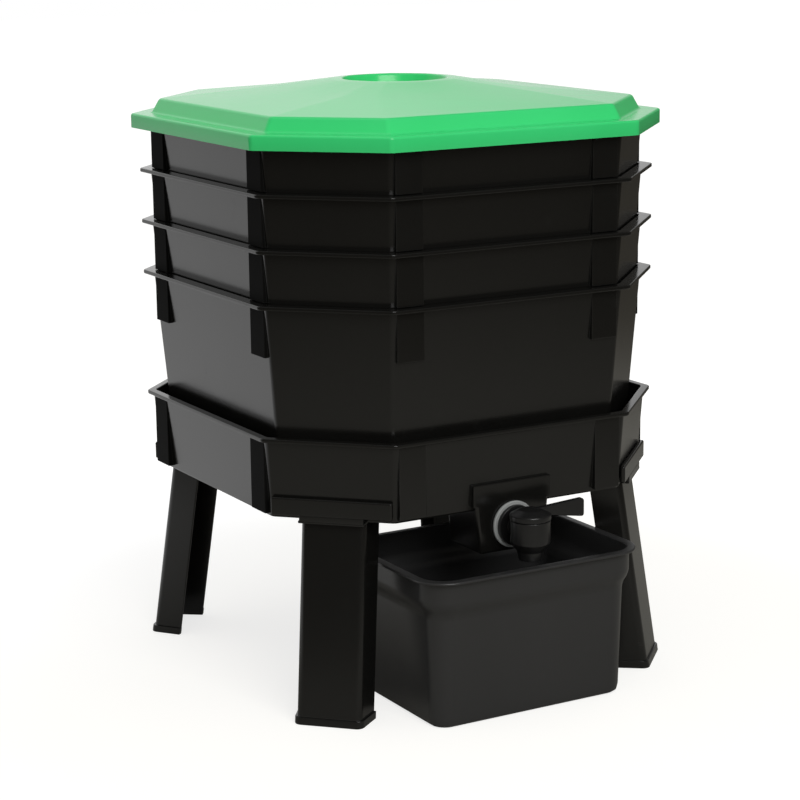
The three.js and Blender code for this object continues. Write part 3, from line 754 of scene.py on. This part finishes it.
def lid_ring(bm, half, z, round_share):
    """An octagonal ring of the lid, drawn towards a circle of the same reach by round_share"""
    shown = half if round_share < 1 else crown_mid_half
    edges = octagon_ring(bm, shown, z, lid_half, lid_cut)
    longest = max(edge.calc_length() for edge in edges)
    sides = [edge for edge in edges if edge.calc_length() > longest / 6]
    split = bmesh.ops.subdivide_edges(bm, edges=sides, cuts=side_cuts)["geom_split"]
    kept = {edge for edge in edges if edge.is_valid}
    kept |= {item for item in split if isinstance(item, bmesh.types.BMEdge)}
    middle = Vector((0, axis_y, z))
    for vert in {vert for edge in kept for vert in edge.verts}:
        arm = vert.co - middle
        vert.co = middle + arm.lerp(arm.normalized() * half, round_share)
    return list(kept)


ledge = tray_top + seat_gap + lid_wall
tier_top = ledge + tier_rise
rim_top = tier_top + crown_rise
tier_foot = lid_half - tier_inset
tier_half = tier_foot - tier_lean
lid_bm = bmesh.new()
lid_profile = [
    (lid_half, lid_low.z, 0),
    (lid_half, ledge, 0),
    (tier_foot, ledge, 0),
    (tier_half, tier_top, 0),
    (crown_mid_half, tier_top + crown_rise * crown_mid_rise_share, crown_mid_round_share),
    (brim_half, tier_top + crown_rise * brim_rise_share, 1),
    (recess_radius, rim_top, 1),
    (recess_radius - recess_draft, rim_top - recess_depth, 1),
]
lid_rings = [lid_ring(lid_bm, half, z, share) for half, z, share in lid_profile]
skin(lid_bm, lid_rings)
bmesh.ops.contextual_create(lid_bm, geom=lid_rings[-1])
bmesh.ops.recalc_face_normals(lid_bm, faces=lid_bm.faces)
if max(lid_bm.faces, key=lambda face: face.calc_center_median().z).normal.z < 0:
    bmesh.ops.reverse_faces(lid_bm, faces=lid_bm.faces)
round_edges(lid_bm, radians(18), lid_edge, 4)
finish_piece("lid_moulding", lid_bm, green_plastic, "green_plastic", "cover", "lid", wall=lid_wall)

# The collection tray: a dark grey satin tub that stands loose under the tap, with a flat rim,
# a wider upper band and a drafted body.
pan_low, pan_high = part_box("collection_tray")
pan_half = (pan_high.x - pan_low.x) / 2
pan_deep = (pan_high.y - pan_low.y) / 2
pan_middle = (pan_high.y + pan_low.y) / 2
pan_top = pan_high.z
pan_lip = 6 * mm
pan_rim = 3 * mm
pan_step = 6 * mm
pan_band_bottom = 114 * mm
pan_body_top = 104 * mm
pan_draft = 3 * mm
pan_wall = 2.4 * mm
pan_floor = 2.6 * mm
pan_radius = 32 * mm
pan_foot_round = 7 * mm
pan_foot_in = 0.6  # of the foot's radius, where its bend meets the floor
pan_bend_in, pan_bend_up = 0.17, 0.3
pan_cove = 4.5 * mm
grey_plastic = moulded_plastic(
    "dark grey satin plastic",
    low=(0.02, 0.02, 0.02), high=(0.026, 0.026, 0.026), edge_wear_and_highlight_colour=(0.045, 0.045, 0.045),
    dull=(0.035, 0.035, 0.035), roughness=0.34, spread=0.05, specular=0.5,
    grain={"scale": 1000.0, "strength": 0.15, "depth": 0.0002}, scuff=0.3,
)
pan_bm = bmesh.new()
pan_body = pan_lip + pan_step
pan_foot = pan_body + pan_draft
pan_profile = [
    (pan_foot + pan_foot_round * pan_foot_in, 0),
    (pan_foot + pan_foot_round * pan_bend_in, pan_foot_round * pan_bend_up),
    (pan_foot, pan_foot_round),
    (pan_body, pan_body_top),
    (pan_lip, pan_band_bottom),
    (pan_lip, pan_top - pan_rim),
    (0, pan_top - pan_rim + mould_draft),
    (0, pan_top - mould_draft),
    (pan_lip + pan_wall, pan_top),
    (pan_lip + pan_wall, pan_band_bottom),
    (pan_body + pan_wall, pan_body_top),
    (pan_foot + pan_wall, pan_foot_round + pan_floor),
    (pan_foot + pan_wall + pan_foot_round * pan_foot_in, pan_floor),
]
skin(pan_bm, [
    ring(pan_bm, pan_half - inset, pan_deep - inset, z, pan_middle, [(pan_radius - inset, 12)])
    for inset, z in pan_profile
])
bmesh.ops.holes_fill(pan_bm, edges=pan_bm.edges, sides=0)
round_edges(
    pan_bm, radians(22), pan_cove, 5,
    keep=lambda edge: pan_body_top - mm < foot_of(edge) and top_of(edge) < pan_band_bottom + mm,
)
round_edges(pan_bm, radians(40), 1.1 * mm, 3, keep=lambda edge: top_of(edge) > pan_band_bottom + pan_rim)
finish_piece("collection_tub", pan_bm, grey_plastic, "grey_plastic", "catcher", "collection_tray")

# The studio: a roll of white paper on a darker studio floor, lit by soft lamps at a plain level,
# with the camera where the photographer stood. The camera sees white everywhere but for the
# shadow. Gloss sees the paper behind and to the left, and the dim room elsewhere.
bpy.context.scene.view_settings.view_transform = "Standard"
world = bpy.data.worlds.new("studio")
bpy.context.scene.world = world
world.use_nodes = True
sky = world.node_tree
room_light = (0.55, 0.55, 0.55, 1)
room_gloss = (0.1, 0.095, 0.085, 1)
paper_white = (1, 1, 1, 1)
towards_paper = (-0.2, 1.0, 0.0)


def mirrored(tree, rays):
    """One for gloss and for what is seen through glass, and nothing for other light"""
    return calculate(tree, "MAXIMUM", rays["Is Glossy Ray"], rays["Is Transmission Ray"])


sky_rays = add_node(sky, "ShaderNodeLightPath").outputs
sky_place = add_node(sky, "ShaderNodeTexCoord").outputs["Generated"]
facing = calculate(sky, "DOT_PRODUCT", sky_place, towards_paper, kind="ShaderNodeVectorMath")
backdrop = mix_colours(sky, ramp(sky, facing, 0.45, 0.75), room_gloss, paper_white)
lit = mix_colours(sky, mirrored(sky, sky_rays), room_light, backdrop)
shown = mix_colours(sky, sky_rays["Is Camera Ray"], lit, paper_white)
sky.links.new(shown, sky.nodes["Background"].inputs["Color"])

floor_bm = bmesh.new()
bmesh.ops.create_grid(floor_bm, x_segments=1, y_segments=1, size=12)
floor_mesh = bpy.data.meshes.new("floor")
floor_bm.to_mesh(floor_mesh)
floor_bm.free()
floor = bpy.data.objects.new("floor", floor_mesh)
bpy.context.scene.collection.objects.link(floor)
floor_material = bpy.data.materials.new("paper and studio floor")
floor_material.use_nodes = True
ground = floor_material.node_tree
floor_shader = ground.nodes["Principled BSDF"]
floor_shader.inputs["Roughness"].default_value = 0.9
floor_shader.inputs["Specular IOR Level"].default_value = 0.1
floor_shader.inputs["Emission Color"].default_value = paper_white
paper_tone = (0.45, 0.45, 0.45, 1)
near_floor_painted_light = (0.36, 0.348, 0.31, 1)
far_floor = (0.1, 0.09, 0.07, 1)
paper_glow = 0.6
soft = {"interpolation_type": "SMOOTHSTEP"}
floor_place = add_node(ground, "ShaderNodeTexCoord").outputs["Object"]
# The strip of paper starts beside the part and runs away to the back left
along_paper = add_node(
    ground, "ShaderNodeMapping", Vector=floor_place,
    Location=(0.2, 0.0, 0.0), Rotation=(0.0, 0.0, radians(-25)),
)
paper_axes = add_node(ground, "ShaderNodeSeparateXYZ", Vector=along_paper.outputs["Vector"]).outputs
paper_side = ramp(ground, calculate(ground, "ABSOLUTE", paper_axes["X"]), 0.85, 0.45, **soft)
paper_end = ramp(ground, paper_axes["Y"], 0.1, 0.65, **soft)
paper = calculate(ground, "MULTIPLY", paper_side, paper_end)
# The bare floor is painted paler near the part and darker away from it: a painted pool of light around the
# part
from_part = calculate(ground, "LENGTH", floor_place, kind="ShaderNodeVectorMath")
floor_with_painted_pool = mix_colours(ground, ramp(ground, from_part, 0.6, 1.8, **soft), near_floor_painted_light, far_floor)
ground.links.new(mix_colours(ground, paper, floor_with_painted_pool, paper_tone), floor_shader.inputs["Base Color"])
# The camera's lift makes the unshadowed floor white and leaves the shadow by the part
floor_rays = add_node(ground, "ShaderNodeLightPath").outputs
lift = ramp(ground, from_part, 0.4, 0.9, 0.74, 1.0, **soft)
camera_lift = calculate(ground, "MULTIPLY", floor_rays["Is Camera Ray"], lift)
gloss_lift = calculate(ground, "MULTIPLY", mirrored(ground, floor_rays), paper)
glow = calculate(ground, "MULTIPLY_ADD", gloss_lift, paper_glow, camera_lift)
ground.links.new(glow, floor_shader.inputs["Emission Strength"])
floor_mesh.materials.append(floor_material)


def soft_lamp(name, place, size, power, target):
    lamp_data = bpy.data.lights.new(name, "AREA")
    lamp_data.shape = "RECTANGLE"
    lamp_data.size, lamp_data.size_y = size
    lamp_data.energy = power
    lamp = bpy.data.objects.new(name, lamp_data)
    lamp.location = place
    lamp.rotation_euler = (Vector(target) - Vector(place)).to_track_quat("-Z", "Y").to_euler()
    bpy.context.scene.collection.objects.link(lamp)


part_middle = (0, axis_y, 0.3)
soft_lamp("front", (-0.3, -2.1, 1.5), (1.4, 1.2), 30, part_middle)
soft_lamp("overhead", (-0.2, 0.1, 2.4), (1.8, 1.8), 4, part_middle)

# The camera was solved on the trays' octagonal flanges, in a frame 1 / model_scale as large and
# with its origin ground_drop above the ground
photo_pixels = 800
focal_pixels = 2280.7
model_scale = 1.0462
ground_drop = 0.2425
camera_yaw = radians(-29.88)
camera_pitch = radians(12.36)
camera_roll = radians(-0.65)
flat_back = Vector((sin(camera_yaw), -cos(camera_yaw), 0))
back = flat_back * cos(camera_pitch) + Vector((0, 0, sin(camera_pitch)))
right = Vector((cos(camera_yaw), sin(camera_yaw), 0))
up = back.cross(right)
rolled_right = right * cos(camera_roll) + up * sin(camera_roll)
rolled_up = back.cross(rolled_right)
camera_data = bpy.data.cameras.new("camera")
camera_data.sensor_width = 36
camera_data.lens = focal_pixels / photo_pixels * camera_data.sensor_width
camera = bpy.data.objects.new("camera", camera_data)
camera_place = Vector((-1.0246, -1.7865, 0.4410 + ground_drop)) * model_scale + Vector((0, axis_y, 0))
turned_to = Matrix((rolled_right, rolled_up, back)).transposed().to_4x4()
camera.matrix_world = Matrix.Translation(camera_place) @ turned_to
bpy.context.scene.collection.objects.link(camera)
bpy.context.scene.camera = camera
